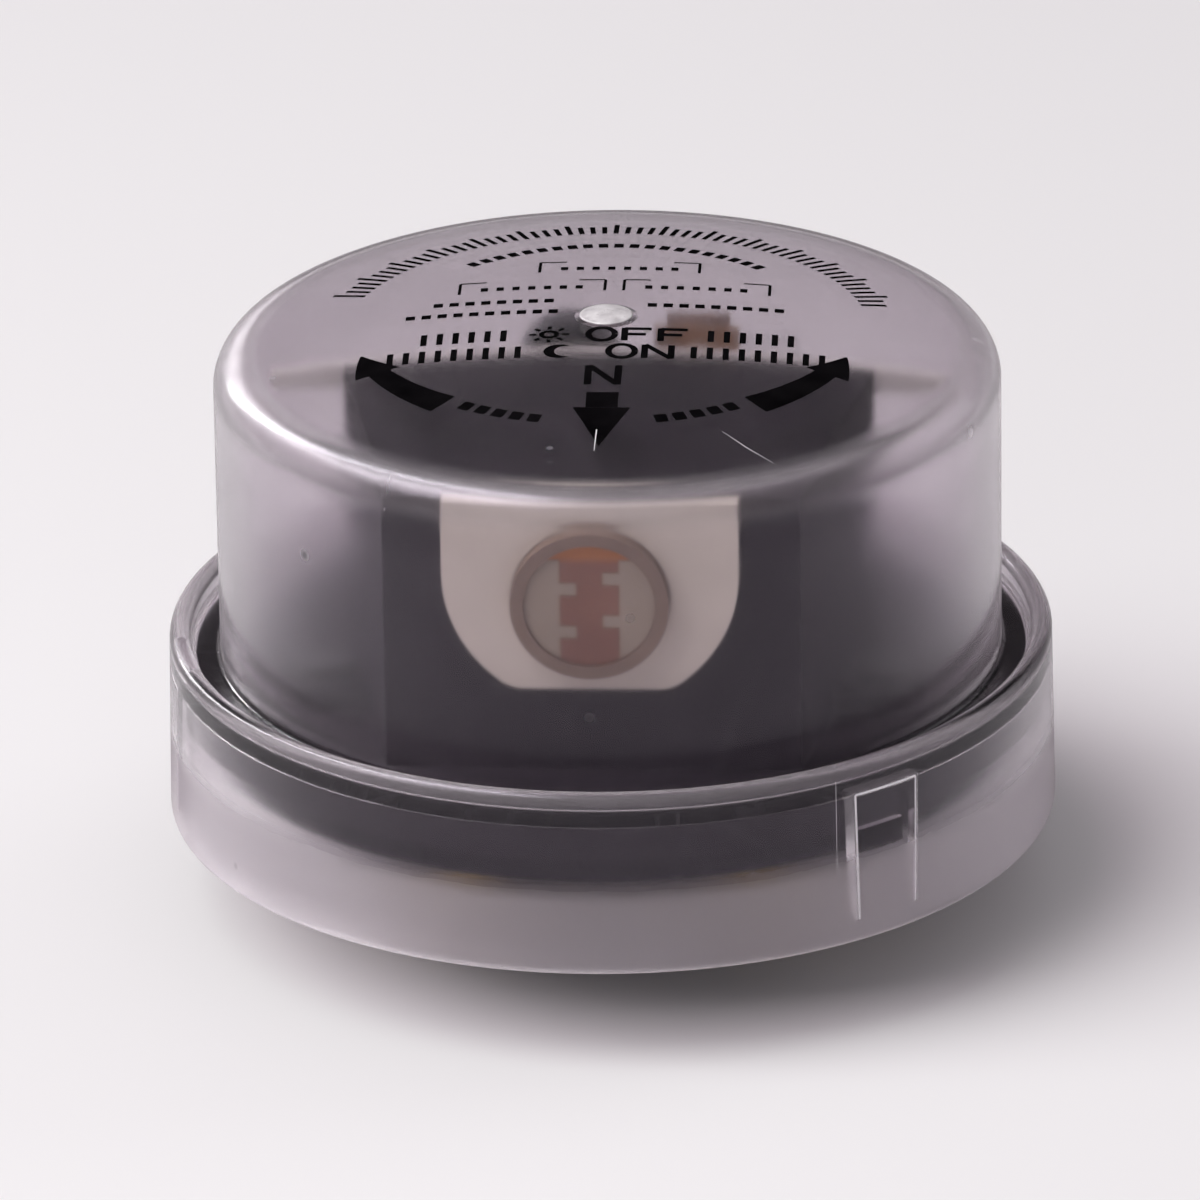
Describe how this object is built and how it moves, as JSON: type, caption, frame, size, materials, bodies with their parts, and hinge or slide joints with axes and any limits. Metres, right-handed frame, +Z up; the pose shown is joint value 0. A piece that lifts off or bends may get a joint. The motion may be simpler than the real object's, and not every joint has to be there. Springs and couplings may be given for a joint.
{
  "type": "photocell switch",
  "caption": "Twist-lock photocell switch: stepped round cover of smoked translucent plastic over a light cell and a thermal switch, on a locking-blade base with a sealing gasket.",
  "frame": {"origin": "under the centre of the cover, on the plane of the blade tips that it stands on", "axes": "+Z up through the centre of the cover, -Y out through the light cell, +X to the right of the cell seen from the front"},
  "size_m": [0.0846, 0.0846, 0.0588],
  "materials": {
    "smoked_plastic": "smoked translucent moulding",
    "black_phenolic": "moulded, satin",
    "gasket_rubber": "matt foam",
    "brass": "stamped strip",
    "plated_steel": "zinc plated",
    "black_plastic": "moulded, satin",
    "white_plastic": "moulded, satin",
    "cell_ceramic": "lacquered ceramic",
    "cell_film": "thin film under lacquer",
    "cell_metal": "evaporated film",
    "tinned_wire": "tinned",
    "board_fibre": "pale fibre board",
    "blackened_steel": "black oxide",
    "bimetal": "rolled strip",
    "contact_silver": "polished",
    "heater_ceramic": "fired ceramic",
    "arrester_coating": "dipped epoxy",
    "black_insulation": "extruded",
    "red_insulation": "extruded",
    "white_insulation": "extruded"
  },
  "bodies": {
    "housing": {"cover": "smoked_plastic", "base": "black_phenolic", "gasket": "gasket_rubber", "line_blade": "brass", "load_blade": "brass", "neutral_blade": "brass", "blade_rivets": "plated_steel", "chassis": "black_plastic", "chassis_screws": "blackened_steel", "cell_holder": "white_plastic", "cell_body": "cell_ceramic", "cell_track": "cell_film", "cell_electrodes": "cell_metal", "cell_leads": "tinned_wire", "switch_board": "board_fibre", "board_screws": "plated_steel", "board_eyelets": "brass", "arm_bracket": "brass", "contact_bracket": "brass", "fixed_contact": "contact_silver", "bracket_rivets": "plated_steel", "heater": "heater_ceramic", "heater_leads": "tinned_wire", "surge_arrester": "arrester_coating", "arrester_leads": "tinned_wire", "line_wire": "black_insulation", "load_wire": "red_insulation", "neutral_wire": "white_insulation"},
    "thermal_arm": {"bimetal_arm": "bimetal", "moving_contact": "contact_silver"}
  },
  "joints": [
    {"name": "contact_open", "type": "hinge", "parent": "housing", "child": "thermal_arm", "pos_m": [0.008, 0.0122, 0.029], "axis": [-1, 0, 0], "range_deg": [0, 3], "stiffness_Nm_per_rad": 0.004}
  ]
}
